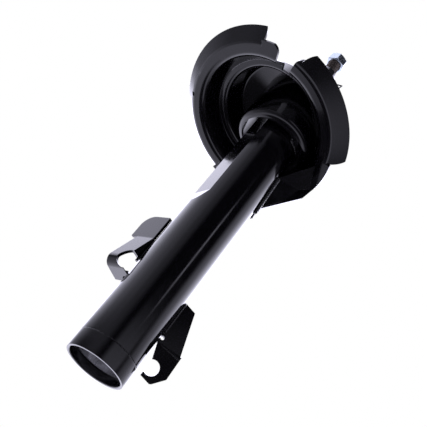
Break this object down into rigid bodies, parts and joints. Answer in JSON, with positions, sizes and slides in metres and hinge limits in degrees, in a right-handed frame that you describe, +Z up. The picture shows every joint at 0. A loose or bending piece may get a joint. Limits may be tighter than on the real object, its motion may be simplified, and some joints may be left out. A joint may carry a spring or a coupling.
{
  "type": "suspension strut",
  "caption": "Twin-tube front suspension strut with a plain lower tube, tilted pressed spring seat, two welded brackets and a sliding, turning piston rod.",
  "frame": {"origin": "centre of the damper tube's open lower end, on the tube's axis", "axes": "+Z up the tube towards the rod's top thread; +X towards the hose bracket, so the spring seat is set off towards -X"},
  "size_m": [0.1809, 0.1772, 0.441],
  "materials": {
    "black_paint": "gloss black stoving enamel",
    "bare_steel": "bare pressed steel",
    "sintered_iron": "sintered",
    "spring_steel": "polished strip",
    "bush_bronze": "bronze with a dark liner",
    "seal_rubber": "moulded",
    "rod_chrome": "ground hard chrome",
    "zinc_plate": "blue zinc plate",
    "wire_steel": "black oxide wire",
    "band_plastic": "filled PTFE"
  },
  "bodies": {
    "housing": {"outer_tube": "black_paint", "base_cap": "bare_steel", "base_valve_body": "sintered_iron", "base_valve_discs": "spring_steel", "base_check_spring": "spring_steel", "base_valve_rivet": "bare_steel", "inner_cylinder": "bare_steel", "rod_guide": "sintered_iron", "guide_bush": "bush_bronze", "oil_seal": "seal_rubber", "garter_spring": "spring_steel", "seal_washer": "bare_steel", "bump_cap": "black_paint", "spring_seat": "black_paint", "seat_support": "black_paint", "support_weld": "black_paint", "neck_weld": "black_paint", "line_bracket": "black_paint", "line_bracket_welds": "black_paint", "hose_bracket": "black_paint", "hose_bracket_welds": "black_paint"},
    "check_valve": {"base_check_plate": "spring_steel"},
    "stop_ring": {"rebound_bumper": "seal_rubber"},
    "rod": {"piston_rod": "rod_chrome", "rod_nut": "zinc_plate", "wire_clip": "wire_steel", "rebound_stop": "bare_steel", "piston": "sintered_iron", "piston_band": "band_plastic", "rebound_discs": "spring_steel", "compression_discs": "spring_steel", "disc_support": "bare_steel", "piston_nut": "bare_steel"}
  },
  "joints": [
    {"name": "rod_slide", "type": "slide", "parent": "housing", "child": "stop_ring", "axis": [0, 0, 1], "range_m": [0, 0.16]},
    {"name": "rod_turn", "type": "hinge", "parent": "stop_ring", "child": "rod", "pos_m": [0, 0, 0.3], "axis": [0, 0, 1], "continuous": true},
    {"name": "check_lift", "type": "slide", "parent": "housing", "child": "check_valve", "axis": [0, 0, 1], "range_m": [0, 0.001], "stiffness_N_per_m": 400, "springref_m": -0.0005, "deforming": ["base_check_spring"]}
  ]
}
